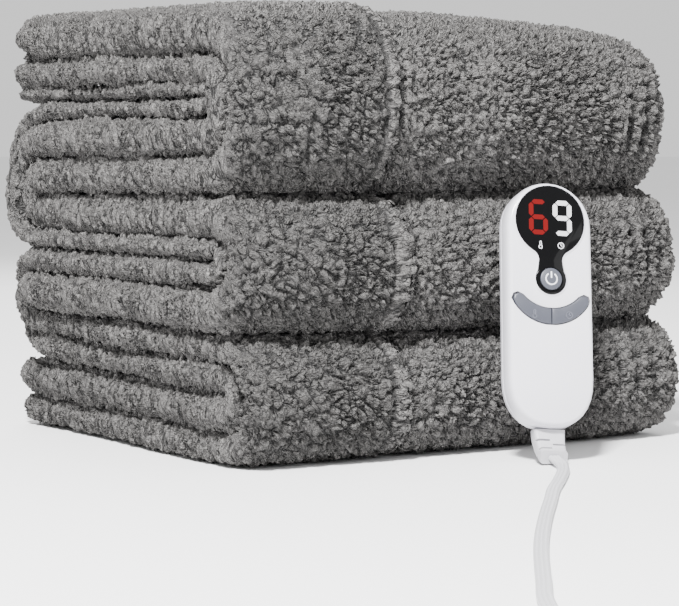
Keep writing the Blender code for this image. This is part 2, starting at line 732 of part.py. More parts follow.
def build_lead():
    """The lead on the floor, its coil with the tie, and the plug."""
    white = finish_material("lead_plastic", LEAD_WHITE, 0.40)
    brass = finish_material("blade_brass", BRASS, 0.30, 1.0)
    rest = LEAD_THICK / 2
    tip = relief_frame(RELIEF_TURN)
    start = tip @ Vector((0, 0, TOUCH))
    route = [start, tip @ Vector((0, 0, 6 * MM)), tip @ Vector((0, 0, 14 * MM))]
    route[2].z = rest + 0.35 * MM
    route += [Vector((x, y, rest)) for x, y in LEAD_FLOOR_POINTS]
    pass_by = coil_rim() + LEAD_THICK / 2 + TOUCH
    entry = COIL_MIDDLE + pass_by * Vector((math.cos(COIL_ENTRY), math.sin(COIL_ENTRY), 0))
    route.append(entry + Vector((0, 0, rest + COIL_FLOOR)))
    add_tube("lead", smooth_route(route, 9 * MM), white)

    ring = bmesh.new()
    inner = COIL_INNER_TURN - LEAD_WIDTH / 2
    top = COIL_FLOOR + COIL_LAYERS * LEAD_THICK
    soft = 1.2 * MM
    profile = [(inner + soft, COIL_FLOOR), (coil_rim() - soft, COIL_FLOOR), (coil_rim(), COIL_FLOOR + soft),
               (coil_rim(), top - soft), (coil_rim() - soft, top), (inner + soft, top),
               (inner, top - soft), (inner, COIL_FLOOR + soft)]
    corners = [ring.verts.new(COIL_MIDDLE + Vector((x, 0, z))) for x, z in profile]
    edges = [ring.edges.new((a, b)) for a, b in zip(corners, corners[1:] + corners[:1])]
    bmesh.ops.spin(ring, geom=corners + edges, cent=COIL_MIDDLE, axis=(0, 0, 1), angle=2 * math.pi,
                   steps=36, use_merge=True)
    add_mesh_object("lead_coil", ring, white)

    # The tie goes round the coil's section on its far side from the entry.
    tie_at = COIL_MIDDLE + Vector((COIL_INNER_TURN + COIL_PITCH, 0, 0))
    half = (COIL_RINGS - 1) * COIL_PITCH / 2 + LEAD_WIDTH / 2 + TIE_SLACK
    place = Matrix.Translation(tie_at)
    outer_box = box_form((-half - TIE_THICK, -TIE_WIDTH / 2, 0),
                         (half + TIE_THICK, TIE_WIDTH / 2, top + TOUCH + TIE_THICK), place)
    tie = add_mesh_object("coil_tie", outer_box, brass)
    tie.data.materials[0] = finish_material("tie_plastic", (0.75, 0.75, 0.76, 1.0), 0.5)
    hollow = box_form((-half, -TIE_WIDTH, TIE_THICK), (half, TIE_WIDTH, top + TOUCH), place)
    cut_or_join(tie, hollow, "DIFFERENCE")

    # The tail leaves the coil's lower rim and ends in the plug.
    leave = COIL_MIDDLE + Vector((pass_by * math.cos(TAIL_HEADING - math.pi / 2),
                                  pass_by * math.sin(TAIL_HEADING - math.pi / 2), 0))
    heading = Vector((math.cos(TAIL_HEADING), math.sin(TAIL_HEADING), 0))
    plug_axis = PLUG_HEIGHT / 2
    upper_layer = COIL_FLOOR + LEAD_THICK + rest
    tail = [leave + heading * TAIL_LENGTH * along + Vector((0, 0, height)) for along, height in (
        (0.0, upper_layer),
        (0.2, upper_layer - 1.6 * MM),
        (0.5, rest + 0.6 * MM),
        (0.75, rest + 2.4 * MM),
        (0.92, plug_axis - 0.8 * MM),
        (1.0, plug_axis),
    )]
    add_tube("lead_tail", smooth_route(tail, 8 * MM), white)

    side = heading.cross(Vector((0, 0, 1)))
    plug_start = leave + heading * (TAIL_LENGTH + TOUCH) + Vector((0, 0, plug_axis))
    stages = [
        # way along the plug, half width, half height, corner radius
        (0.0, 4.2 * MM, 3.0 * MM, 2.2 * MM),
        (PLUG_TAPER * 0.8, 5.6 * MM, 4.2 * MM, 2.8 * MM),
        (PLUG_TAPER, 9.0 * MM, 6.4 * MM, 4.0 * MM),
        (PLUG_TAPER + 4 * MM, PLUG_WIDTH / 2, PLUG_HEIGHT / 2, 5.0 * MM),
        (PLUG_TAPER + PLUG_LENGTH - 1 * MM, PLUG_WIDTH / 2, PLUG_HEIGHT / 2, 5.0 * MM),
        (PLUG_TAPER + PLUG_LENGTH, PLUG_WIDTH / 2 - 1 * MM, PLUG_HEIGHT / 2 - 1 * MM, 4.0 * MM),
    ]
    sections = []
    for along, half_width, half_height, radius in stages:
        centre = plug_start + heading * along
        outline = rounded_rectangle(half_width, half_height, radius)
        sections.append([centre + side * x + Vector((0, 0, y)) for x, y in outline])
    add_mesh_object("plug_body", sweep_form(sections), white)
    frame = Matrix.Identity(4)
    face = plug_start + heading * (PLUG_TAPER + PLUG_LENGTH + TOUCH)
    for row in range(3):
        frame[row][0], frame[row][1] = side[row], heading[row]
        frame[row][3] = face[row]
    for name, hand in (("plug_blade_left", -1), ("plug_blade_right", 1)):
        middle = hand * BLADE_PITCH / 2
        low = (middle - BLADE_SIZE.y / 2, 0, -BLADE_SIZE.x / 2)
        high = (middle + BLADE_SIZE.y / 2, BLADE_SIZE.z, BLADE_SIZE.x / 2)
        add_mesh_object(name, box_form(low, high, frame), brass)


clear_scene()
build_blanket()
controller = bpy.data.objects.new("controller", None)
bpy.context.scene.collection.objects.link(controller)
controller.matrix_world = case_frame()
build_case(controller)
build_relief()
build_lead()
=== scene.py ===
# %% [markdown]
# # An electric heated blanket, folded, with its hand controller
#
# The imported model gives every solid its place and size. This script dresses it: thick pile on
# the blanket, gloss plastic and a lit display on the controller, and a flat ribbed lead that
# runs over the floor into a coil. Each step has a cell that says what the real piece is, how it
# could be made and why it is made this way, and then the code.

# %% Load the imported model
import math

import bmesh
import bpy
import numpy as np
from mathutils import Matrix, Vector, noise
from mathutils.bvhtree import BVHTree


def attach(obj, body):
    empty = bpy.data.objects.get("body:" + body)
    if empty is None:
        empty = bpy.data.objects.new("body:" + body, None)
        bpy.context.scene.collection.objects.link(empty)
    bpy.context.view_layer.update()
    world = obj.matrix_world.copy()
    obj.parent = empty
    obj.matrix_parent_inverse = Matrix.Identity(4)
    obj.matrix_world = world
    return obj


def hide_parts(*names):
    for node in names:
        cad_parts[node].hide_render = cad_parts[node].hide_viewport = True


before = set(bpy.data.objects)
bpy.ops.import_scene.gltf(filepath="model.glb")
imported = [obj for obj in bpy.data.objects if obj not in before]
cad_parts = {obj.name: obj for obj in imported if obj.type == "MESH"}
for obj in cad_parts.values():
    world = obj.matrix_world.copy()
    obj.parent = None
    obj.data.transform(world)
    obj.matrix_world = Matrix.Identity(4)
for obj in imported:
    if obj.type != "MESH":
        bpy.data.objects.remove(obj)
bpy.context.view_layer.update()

MM = 0.001
SAME_PLACE = 0.001 * MM  # corners nearer to each other than this become one
print("packed nodes:", ", ".join(sorted(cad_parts)))

# %% [markdown]
# ## Colours and nodes
#
# Colours are kept as the hex codes that a paint chart shows. A shader wants linear light, so
# one function turns a code into that. Every material starts as a Principled shader, and one
# small function adds any node with its settings and its links, which keeps a node tree as
# short to read as a recipe.

# %% Helpers for colours and materials
def linear(code):
    """The linear colour of an sRGB hex code."""
    shares = [int(code[place:place + 2], 16) / 255 for place in (1, 3, 5)]
    return [s / 12.92 if s <= 0.04045 else ((s + 0.055) / 1.055) ** 2.4 for s in shares] + [1.0]


def put(tree, socket, value):
    """Links a socket to another node's output, or sets its value."""
    if isinstance(value, bpy.types.NodeSocket):
        tree.links.new(value, socket)
    else:
        socket.default_value = value


def add_node(tree, kind, settings=None, inputs=None):
    """Adds a node with its settings and its inputs, and gives back its first output that is on."""
    node = tree.nodes.new(kind)
    for name, value in (settings or {}).items():
        setattr(node, name, value)
    for name, value in (inputs or {}).items():
        put(tree, node.inputs[name], value)
    return next(output for output in node.outputs if output.enabled)


def new_material(name, inputs):
    """A Principled material with the given inputs, and its node tree."""
    material = bpy.data.materials.new(name)
    material.use_nodes = True
    for socket, value in inputs.items():
        material.node_tree.nodes["Principled BSDF"].inputs[socket].default_value = value
    return material, material.node_tree


def shade(tree, inputs):
    """Links nodes to the material's Principled shader."""
    for socket, value in inputs.items():
        put(tree, tree.nodes["Principled BSDF"].inputs[socket], value)


def millimetres(tree):
    """Object coordinates in millimetres, so that a pattern's scale is one over its size."""
    place = tree.nodes.new("ShaderNodeTexCoord").outputs["Object"]
    return add_node(tree, "ShaderNodeVectorMath", {"operation": "SCALE"}, {0: place, "Scale": 1000.0})


def maths(tree, operation, first, second=0.0, third=0.0):
    """One step of arithmetic in a node tree."""
    return add_node(tree, "ShaderNodeMath", {"operation": operation}, {0: first, 1: second, 2: third})


def noisy(tree, place, size, detail=2.0):
    """A noise at a place in millimetres, with lumps of a size in millimetres."""
    return add_node(tree, "ShaderNodeTexNoise", None, {
        "Vector": place, "Scale": 1 / size, "Detail": detail})


def bump(tree, height, distance, strength=1.0):
    """A normal that leans as if the surface rose by the height times the distance."""
    return add_node(tree, "ShaderNodeBump", None, {
        "Height": height, "Distance": distance, "Strength": strength})


print("white paper in linear light:", [round(value, 3) for value in linear("#F4F4F5")[:3]])

# %% Helpers that turn a form into a piece
SOFT_ANGLE = 40  # degrees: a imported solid's flatter edges stay smooth


def mesh_from(form, name):
    """A mesh made from a form, which is then freed."""
    mesh = bpy.data.meshes.new(name)
    form.to_mesh(mesh)
    form.free()
    return mesh


def add_object(name, data):
    """A new object at the origin, in the scene."""
    thing = bpy.data.objects.new(name, data)
    bpy.context.scene.collection.objects.link(thing)
    return thing


def finish_piece(name, form, body, material, sharp=35):
    """Makes a form a piece at the origin that rides on a body, smooth up to the sharp angle."""
    mesh = mesh_from(form, name)
    mesh.materials.append(material)
    mesh.polygons.foreach_set("use_smooth", [True] * len(mesh.polygons))
    mesh.set_sharp_from_angle(angle=math.radians(sharp))
    piece = add_object(name, mesh)
    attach(piece, body)
    print(f"{name}: {len(mesh.polygons)} faces")
    return piece


def merged_form(node):
    """A copy of a node's mesh with its loose triangles joined up."""
    form = bmesh.new()
    form.from_mesh(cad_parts[node].data)
    bmesh.ops.remove_doubles(form, verts=form.verts[:], dist=SAME_PLACE)
    return form


def soften(piece, width, segments):
    """Rounds a piece's sharp edges with a Bevel modifier."""
    bevel = piece.modifiers.new("soft_edges", "BEVEL")
    bevel.width = width
    bevel.segments = segments
    bevel.limit_method = "ANGLE"
    bevel.angle_limit = math.radians(SOFT_ANGLE)
    bevel.harden_normals = True


# %% [markdown]
# ## Camera
#
# The photo was taken with a long lens from the left and a little above the middle of the
# stack: its upright edges stay upright, and of its top only the rounding is seen. The
# camera stands where the stack's corners fall on the photo's, and its lens is given in
# millimetres on a 36 mm wide sensor.

# %% Place the camera
PHOTO_WIDTH = 679
FOCAL_PIXELS = 2359
SENSOR_WIDTH = 36
CAMERA_PLACE = Vector((-0.7700, -1.1243, 0.1667))
CAMERA_YAW = math.radians(33.76)
CAMERA_PITCH = math.radians(-3.78)

lens = bpy.data.cameras.new("photo_camera")
lens.sensor_width = SENSOR_WIDTH
lens.lens = SENSOR_WIDTH * FOCAL_PIXELS / PHOTO_WIDTH
camera = add_object("photo_camera", lens)
camera.location = CAMERA_PLACE
camera.rotation_euler = (math.pi / 2 + CAMERA_PITCH, 0, -CAMERA_YAW)
bpy.context.scene.camera = camera
print(f"lens {lens.lens:.1f} mm")

# %% [markdown]
# ## Floor and light
#
# The photo is cut out on white. A wide disc of pale paper under an equally white sky gives
# that from every side. The light is a soft box at the upper left, small enough to model the
# pile. A weak, large one at the front right and one behind the stack lift the other sides.

# %% Paper floor
FLOOR_RADIUS = 40.0  # far enough for the rim to run into the sky


def paper():
    """Uncoated studio paper: white, matt, with a faint cloudiness."""
    material, tree = new_material("uncoated_studio_paper", {
        "Roughness": 0.9, "Specular IOR Level": 0.2})
    tint = add_node(tree, "ShaderNodeMix", {"data_type": "RGBA"}, {
        "Factor": noisy(tree, millimetres(tree), 300), 6: linear("#F1F1F2"), 7: linear("#F6F6F6")})
    shade(tree, {"Base Color": tint})
    return material


dish = bmesh.new()
bmesh.ops.create_circle(dish, cap_ends=True, radius=FLOOR_RADIUS, segments=96)
paper_floor = add_object("paper_floor", mesh_from(dish, "paper_floor"))
paper_floor.data.materials.append(paper())

# %% Lights
STACK_MIDDLE = Vector((0, 0, 0.1))


def add_softbox(name, place, size, power):
    """A square area light that looks at the middle of the stack."""
    light = bpy.data.lights.new(name, "AREA")
    light.size = size
    light.energy = power
    lamp = add_object(name, light)
    lamp.location = place
    lamp.rotation_euler = (STACK_MIDDLE - Vector(place)).to_track_quat("-Z", "Y").to_euler()


add_softbox("key_softbox", (-0.95, -0.95, 1.60), 0.3, 158)
add_softbox("fill_softbox", (0.9, -1.5, 0.9), 1.2, 8)
add_softbox("back_softbox", (0.5, 1.4, 1.2), 1.0, 22)
sky = bpy.data.worlds.new("studio_white")
sky.use_nodes = True
background = sky.node_tree.nodes["Background"]
background.inputs["Color"].default_value = linear("#FFFFFF")
background.inputs["Strength"].default_value = 1.0
bpy.context.scene.world = sky

# %% [markdown]
# ## The lead
#
# A heated blanket's low-voltage lead is a flat cord: three PVC-covered strands side by side,
# extruded as one, with a groove between each two. It leaves the strain relief, drops to the
# floor and runs forward out of the view, and the length that the photo doesn't show is wound
# into a coil of two layers of three turns, the usual 1.8 m in all. A curve with the section as
# its bevel object makes such a cord: Blender keeps the section upright along the way.

# %% The lead's route over the floor
LEAD_WIDTH = 6.6 * MM
LEAD_RADIUS = 1.45 * MM  # of one of the three ribs
LEAD_AXIS = 1.7 * MM  # height of the lead's middle where it lies on the floor
ROUTE_STEP = 0.5 * MM  # between points of the smooth curve, before they are thinned out
ROUTE_SPACING = 4 * MM
OFF_THE_FLOOR = 0.05 * MM
RELIEF_TIP = Vector((0.0068, -0.1648, 0.0042))
RELIEF_WAY = Vector((-0.365, -0.915, -0.173))
FLOOR_POINTS = [
    (-0.0101, -0.1930), (-0.0329, -0.2179), (-0.0562, -0.2422), (-0.0795, -0.2688),
    (-0.1029, -0.2952), (-0.1260, -0.3219), (-0.1487, -0.3488), (-0.1708, -0.3761),
    (-0.1924, -0.4038), (-0.2138, -0.4316), (-0.2322, -0.4554), (-0.2486, -0.4805),
    (-0.2625, -0.5013), (-0.2761, -0.5211),
]
lead_points = [RELIEF_TIP + RELIEF_WAY * along * MM for along in (0.3, 6.0, 14.0)]
lead_points[2].z = LEAD_AXIS + 0.35 * MM  # the lead touches down softly
lead_points += [Vector((x, y, LEAD_AXIS)) for x, y in FLOOR_POINTS]

# %% The coil
COIL_MIDDLE = Vector((-0.2492, -0.5679, 0.0))
COIL_RIM = 48.4 * MM  # the lead's middle line where it runs in and out along the rim
COIL_OUTER = 43.1 * MM
COIL_INNER = 29.5 * MM
LOW_LAYER = 2.9 * MM  # heights of the two layers' middle lines, over the tie
HIGH_LAYER = 6.3 * MM
COIL_START = math.radians(146)
COIL_STEPS = 24  # points for each turn

# turns so far, radius and height of the middle line
COIL_STAGES = [
    (0.0, COIL_RIM, LOW_LAYER), (0.35, COIL_OUTER, LOW_LAYER), (2.2, COIL_INNER, LOW_LAYER),
    (2.4, COIL_INNER, LOW_LAYER), (2.7, COIL_INNER, HIGH_LAYER), (4.7, COIL_OUTER, HIGH_LAYER),
    (5.0, COIL_OUTER + 1.5 * MM, HIGH_LAYER), (5.29, COIL_RIM, HIGH_LAYER),
]


def coil_spot(turns):
    """The coil's middle line after so many turns."""
    for (start, r0, z0), (end, r1, z1) in zip(COIL_STAGES, COIL_STAGES[1:]):
        if turns <= end:
            share = (turns - start) / (end - start)
            radius, height = r0 + (r1 - r0) * share, z0 + (z1 - z0) * share
            break
    angle = COIL_START + 2 * math.pi * turns
    return COIL_MIDDLE + Vector((radius * math.cos(angle), radius * math.sin(angle), height))


LAST_TURN = COIL_STAGES[-1][0]
coil_count = round(LAST_TURN * COIL_STEPS)
lead_points += [coil_spot(LAST_TURN * step / coil_count) for step in range(coil_count + 1)]

# %% The tail into the plug
TAIL_HEADING = math.radians(-19)
TAIL_WAY = Vector((math.cos(TAIL_HEADING), math.sin(TAIL_HEADING), 0))
TAIL_LENGTH = 62 * MM
TAIL_HEIGHTS = [(0.2, 4.7), (0.5, 2.3), (0.75, 4.1), (0.92, 6.7), (1.0, 7.5)]
leave = coil_spot(LAST_TURN)
for share, height in TAIL_HEIGHTS:
    spot = leave + TAIL_WAY * TAIL_LENGTH * share
    lead_points.append(Vector((spot.x, spot.y, height * MM)))

# %% Smooth the route
def smooth_route(points, spacing):
    """Points at an even spacing on a smooth curve through the route's own points."""
    padded = [points[0] * 2 - points[1]] + points + [points[-1] * 2 - points[-2]]
    fine = []
    for before, here, there, beyond in zip(padded, padded[1:], padded[2:], padded[3:]):
        steps = max(1, round((there - here).length / ROUTE_STEP))
        for step in range(steps):
            t = step / steps
            bend = before * 2 - here * 5 + there * 4 - beyond
            spot = here * 2 + (there - before) * t + bend * t * t
            fine.append((spot + (here * 3 - before - there * 3 + beyond) * t * t * t) / 2)
    fine.append(points[-1])
    even, left = [fine[0]], spacing
    for near, far in zip(fine, fine[1:]):
        left -= (far - near).length
        if left <= 0:
            even.append(far)
            left += spacing
    if (even[-1] - fine[-1]).length < spacing / 2:
        even.pop()
    even.append(fine[-1])
    for spot in even:
        spot.z = max(spot.z, LEAD_RADIUS + OFF_THE_FLOOR)
    return even


lead_route = smooth_route(lead_points, ROUTE_SPACING)
lead_length = sum((far - near).length for near, far in zip(lead_route, lead_route[1:]))
print(f"lead: {lead_length:.3f} m through {len(lead_route)} points")

# %% The cord's section and its mesh
RIB_OFFSET = LEAD_WIDTH / 2 - LEAD_RADIUS
GROOVE_TURN = math.acos(RIB_OFFSET / 2 / LEAD_RADIUS)
OUTER_STEPS = 10  # points on an outer rib
MIDDLE_STEPS = 4  # points on each side of the middle rib


def rib_arc(middle, start, end, steps):
    """Points on one rib's round back, without the last."""
    turns = [start + (end - start) * step / steps for step in range(steps)]
    return [(middle + LEAD_RADIUS * math.cos(turn), LEAD_RADIUS * math.sin(turn)) for turn in turns]


section_points = rib_arc(RIB_OFFSET, GROOVE_TURN - math.pi, math.pi - GROOVE_TURN, OUTER_STEPS)
section_points += rib_arc(0, GROOVE_TURN, math.pi - GROOVE_TURN, MIDDLE_STEPS)
section_points += rib_arc(-RIB_OFFSET, GROOVE_TURN, 2 * math.pi - GROOVE_TURN, OUTER_STEPS)
section_points += rib_arc(0, math.pi + GROOVE_TURN, 2 * math.pi - GROOVE_TURN, MIDDLE_STEPS)


def add_curve(name, points, cyclic):
    """A curve of one straight-lined spline."""
    curve = bpy.data.curves.new(name, "CURVE")
    curve.dimensions = "3D"
    spline = curve.splines.new("POLY")
    spline.points.add(len(points) - 1)
    for spot, point in zip(spline.points, points):
        spot.co = (*point, 1.0)
    spline.use_cyclic_u = cyclic
    return add_object(name, curve)


def sweep(section, route):
    """A form made by leading a flat section upright along a route, closed at its ends."""
    profile = add_curve("section", [(x, y, 0) for x, y in section], True)
    path = add_curve("route", route, False)
    path.data.twist_mode = "Z_UP"
    path.data.bevel_mode = "OBJECT"
    path.data.bevel_object = profile
    path.data.use_fill_caps = True
    mesh = bpy.data.meshes.new_from_object(path.evaluated_get(bpy.context.evaluated_depsgraph_get()))
    form = bmesh.new()
    form.from_mesh(mesh)
    bmesh.ops.remove_doubles(form, verts=form.verts[:], dist=SAME_PLACE)
    bmesh.ops.holes_fill(form, edges=form.edges[:])
    bmesh.ops.recalc_face_normals(form, faces=form.faces[:])
    for thing in (path, profile):
        bpy.data.objects.remove(thing)
    bpy.data.meshes.remove(mesh)
    return form


def lead_pvc():
    """Extruded soft PVC: white, slightly waxy, with fine drag lines too small to see apart."""
    material, tree = new_material("white_extruded_pvc", {
        "Base Color": linear("#BFBFC2"), "Roughness": 0.38, "IOR": 1.53})
    drag_lines = noisy(tree, millimetres(tree), 1.5)
    shade(tree, {"Normal": bump(tree, drag_lines, 0.05 * MM, 0.5)})
    return material


LEAD_PVC = lead_pvc()
lead_form = sweep(section_points, lead_route)
lead = finish_piece("lead_cord", lead_form, "blanket_set", LEAD_PVC, 50)
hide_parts("lead", "lead_coil", "lead_tail")

# %% [markdown]
# ## Plug and tie
#
# The plug is moulded on the lead's end in the same soft PVC: a tapered neck, a body with a
# waist for the fingers, and two stamped blades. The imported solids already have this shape, so
# a joined-up copy with soft edges stands for them. The coil is held by a strip of nylon.

# %% Plug, blades and tie
def dressed_copy(node, body, material, width, segments=3):
    """A joined-up copy of a node with soft edges, which stands for it."""
    form = merged_form(node)
    bmesh.ops.dissolve_limit(form, angle_limit=math.radians(1),
                             verts=form.verts[:], edges=form.edges[:])
    piece = finish_piece(f"{node}_dressed", form, body, material, SOFT_ANGLE)
    soften(piece, width, segments)
    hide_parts(node)
    return piece


def stamped_brass():
    """Brass, stamped and polished: warm yellow, with fine lines along the blade."""
    material, tree = new_material("stamped_brass", {
        "Base Color": linear("#D9BE82"), "Metallic": 1.0, "Roughness": 0.24})
    lines = noisy(tree, millimetres(tree), 0.8)
    shade(tree, {"Roughness": maths(tree, "MULTIPLY_ADD", lines, 0.2, 0.14)})
    return material


def woven_nylon():
    """A nylon hook tie: white, matt, its loops too fine to see apart at 0.4 mm."""
    material, tree = new_material("looped_nylon", {"Base Color": linear("#D9D9DB"), "Roughness": 0.8})
    loops = noisy(tree, millimetres(tree), 0.4)
    shade(tree, {"Normal": bump(tree, loops, 0.2 * MM)})
    return material


plug = dressed_copy("plug_body", "blanket_set", LEAD_PVC, 0.8 * MM)
tie = dressed_copy("coil_tie", "blanket_set", woven_nylon(), 0.3 * MM, 2)
BRASS = stamped_brass()
blades = [dressed_copy(f"plug_blade_{hand}", "blanket_set", BRASS, 0.3 * MM, 2)
          for hand in ("left", "right")]

# %% [markdown]
# ## Controller
#
# The case is two gloss-white ABS shells. They come out of a polished mould, so they reflect a
# soft, slightly uneven highlight, and their edges are round. The keyhole window is black
# acrylic behind a thin raised rim; the power button and the two halves of the crescent are
# satin grey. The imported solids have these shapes, so joined-up copies with soft edges are used.

# %% Moulded ABS, acrylic and satin keys
def moulded_plastic(name, colour, roughness, peel):
    """Moulded plastic: a smooth skin with a faint unevenness, about 2 mm from wave to wave."""
    material, tree = new_material(name, {
        "Base Color": linear(colour), "IOR": 1.53, "Roughness": roughness})
    waves = noisy(tree, millimetres(tree), 2.0)
    rub = noisy(tree, millimetres(tree), 9.0, 4.0)
    shade(tree, {
        "Normal": bump(tree, waves, peel, 0.4),
        "Roughness": maths(tree, "MULTIPLY_ADD", rub, 0.12, roughness - 0.06),
    })
    return material


GLOSS_ABS = moulded_plastic("gloss_white_abs", "#D6D5DC", 0.24, 0.02 * MM)
BLACK_ACRYLIC = moulded_plastic("polished_black_acrylic", "#040405", 0.09, 0.004 * MM)
BLACK_ACRYLIC.node_tree.nodes["Principled BSDF"].inputs["Specular IOR Level"].default_value = 0.18
SATIN_GREY = moulded_plastic("satin_grey_abs", "#3F414A", 0.42, 0.02 * MM)
SOFT_RELIEF = moulded_plastic("soft_white_tpe", "#B4B3B7", 0.45, 0.03 * MM)

dressed_copy("front_shell", "blanket_set", GLOSS_ABS, 0.22 * MM)
dressed_copy("back_shell", "blanket_set", GLOSS_ABS, 0.3 * MM)
dressed_copy("display_window", "blanket_set", BLACK_ACRYLIC, 0.12 * MM, 2)
for key in ("power_button", "temp_key", "timer_key"):
    dressed_copy(key, key, SATIN_GREY, 0.15 * MM)
dressed_copy("strain_relief", "blanket_set", SOFT_RELIEF, 0.3 * MM)

# %% [markdown]
# ## Display
#
# Behind the lens lie two seven-segment numbers, red for the heat level and white for the hours.
# Each segment is a flat hexagon with pointed ends. They are drawn as thin slabs just proud of
# the lens, because a lit segment looks as if it floats on the black. Below them, the real one
# has two printed words; a thermometer and a clock stand there instead.

# %% The case's own frame
CASE_FOOT = Vector((0.0160, -0.1428, 0.0142))
CASE_FRAME = (Matrix.Translation(CASE_FOOT) @ Matrix.Rotation(math.radians(-20), 4, "Z")
              @ Matrix.Rotation(math.radians(-16), 4, "X") @ Matrix.Rotation(math.radians(4), 4, "Y"))
WINDOW_FACE = -20.5 * MM  # the lens, along the case's own y
WINDOW_HEIGHT = 112.2 * MM
BUTTON_HEIGHT = 80 * MM


def slab(form, outline, low, high):
    """Adds a flat slab to a form: an outline in the case's x and z, between two values of y."""
    corners = [form.verts.new((x, high, z)) for x, z in outline]
    face = form.faces.new(corners)
    pushed = bmesh.ops.extrude_face_region(form, geom=[face])["geom"]
    moved = [part for part in pushed if isinstance(part, bmesh.types.BMVert)]
    bmesh.ops.translate(form, verts=moved, vec=(0, low - high, 0))


def place_on_case(form):
    """Turns a form's faces outwards and moves it from the case's own frame to its place."""
    bmesh.ops.recalc_face_normals(form, faces=form.faces[:])
    form.transform(CASE_FRAME)
    return form


def ring(radius, x, z, steps, start=0.0, end=2 * math.pi):
    """Points round an arc in the case's x and z."""
    turns = [start + (end - start) * step / steps for step in range(steps + 1)]
    return [(x + radius * math.cos(turn), z + radius * math.sin(turn)) for turn in turns]


# %% Lit numbers
DIGIT_WIDTH = 10.6 * MM
DIGIT_HEIGHT = 19.4 * MM
DIGIT_MIDDLE = WINDOW_HEIGHT + 1.6 * MM
STROKE = 2.6 * MM
SEGMENT_GAP = 0.35 * MM
LIT = (WINDOW_FACE - 0.14 * MM, WINDOW_FACE - 0.02 * MM)  # a segment's front and back, along y
LEVEL = "6"
HOURS = "9"
SEGMENTS = {"6": "afgcde", "9": "abcdfg"}


def segment(form, start, end):
    """One segment between two corners of a number, with pointed ends."""
    start, end = Vector(start), Vector(end)
    along = (end - start).normalized()
    side = Vector((-along.y, along.x)) * STROKE / 2
    a, b = start + along * SEGMENT_GAP, end - along * SEGMENT_GAP
    tip = along * STROKE / 2
    outline = [a, a + tip + side, b - tip + side, b, b - tip - side, a + tip - side]
    slab(form, [tuple(spot) for spot in outline], *LIT)


def number(character, x):
    """A seven-segment number round a middle on the window."""
    half_w, half_h = (DIGIT_WIDTH - STROKE) / 2, (DIGIT_HEIGHT - STROKE) / 2
    z = DIGIT_MIDDLE
    corners = {
        "a": ((x - half_w, z + half_h), (x + half_w, z + half_h)),
        "b": ((x + half_w, z + half_h), (x + half_w, z)),
        "c": ((x + half_w, z), (x + half_w, z - half_h)),
        "d": ((x - half_w, z - half_h), (x + half_w, z - half_h)),
        "e": ((x - half_w, z), (x - half_w, z - half_h)),
        "f": ((x - half_w, z + half_h), (x - half_w, z)),
        "g": ((x - half_w, z), (x + half_w, z)),
    }
    form = bmesh.new()
    for name in SEGMENTS[character]:
        segment(form, *corners[name])
    return place_on_case(form)


def lit_segment(name, colour, strength):
    """A light-emitting diode behind a diffuser: an even glow with no shading of its own."""
    return new_material(name, {
        "Base Color": linear("#050505"), "Roughness": 0.6, "Specular IOR Level": 0.1,
        "Emission Color": linear(colour), "Emission Strength": strength})[0]


RED_LED = lit_segment("red_led_diffuser", "#FF0000", 0.5)
WHITE_LED = lit_segment("white_led_diffuser", "#F4F4F8", 3.0)
finish_piece("level_number", number(LEVEL, -6.6 * MM), "blanket_set", RED_LED)
finish_piece("hours_number", number(HOURS, 6.8 * MM), "blanket_set", WHITE_LED)

# %% Printed marks under the numbers
OVERLAP = 0.2  # of a line's width, by which its slabs run into each other


def stroke_form(form, points, width, low, high, closed):
    """Adds a line of even width as short slabs between its points."""
    pairs = list(zip(points, points[1:] + points[:1] if closed else points[1:]))
    for near, far in pairs:
        near, far = Vector(near), Vector(far)
        along = (far - near).normalized()
        side = Vector((-along.y, along.x)) * width / 2
        near, far = near - along * width * OVERLAP, far + along * width * OVERLAP
        outline = [near + side, far + side, far - side, near - side]
        slab(form, [tuple(spot) for spot in outline], low, high)


def marks(shapes, low, high):
    """A form with several drawn lines: each shape is its points, its width and whether it closes."""
    form = bmesh.new()
    for points, width, closed in shapes:
        stroke_form(form, points, width, low, high, closed)
    return place_on_case(form)


def thermometer(x, z, size):
    """A bulb with a stem."""
    bulb = ring(0.22 * size, x, z - 0.28 * size, 12)[:-1]
    stem = [(x - 0.11 * size, z - 0.1 * size), (x - 0.11 * size, z + 0.36 * size),
            (x, z + 0.47 * size), (x + 0.11 * size, z + 0.36 * size), (x + 0.11 * size, z - 0.1 * size)]
    return [(bulb, 0.12 * size, True), (stem, 0.10 * size, False)]


def clock(x, z, size):
    """A round face with two hands."""
    face = ring(0.40 * size, x, z, 18)[:-1]
    hands = [(x, z + 0.26 * size), (x, z), (x + 0.2 * size, z - 0.06 * size)]
    return [(face, 0.11 * size, True), (hands, 0.10 * size, False)]


PRINT_WHITE = new_material("screen_printed_white_ink", {
    "Base Color": linear("#D8D8DC"), "Roughness": 0.55})[0]
LABEL_HEIGHT = WINDOW_HEIGHT - 13.6 * MM
PRINTED = (WINDOW_FACE - 0.06 * MM, WINDOW_FACE - 0.01 * MM)  # the ink's front and back, along y
labels = thermometer(-5.6 * MM, LABEL_HEIGHT, 4.2 * MM) + clock(5.8 * MM, LABEL_HEIGHT, 4.0 * MM)
finish_piece("window_marks", marks(labels, *PRINTED), "blanket_set", PRINT_WHITE)

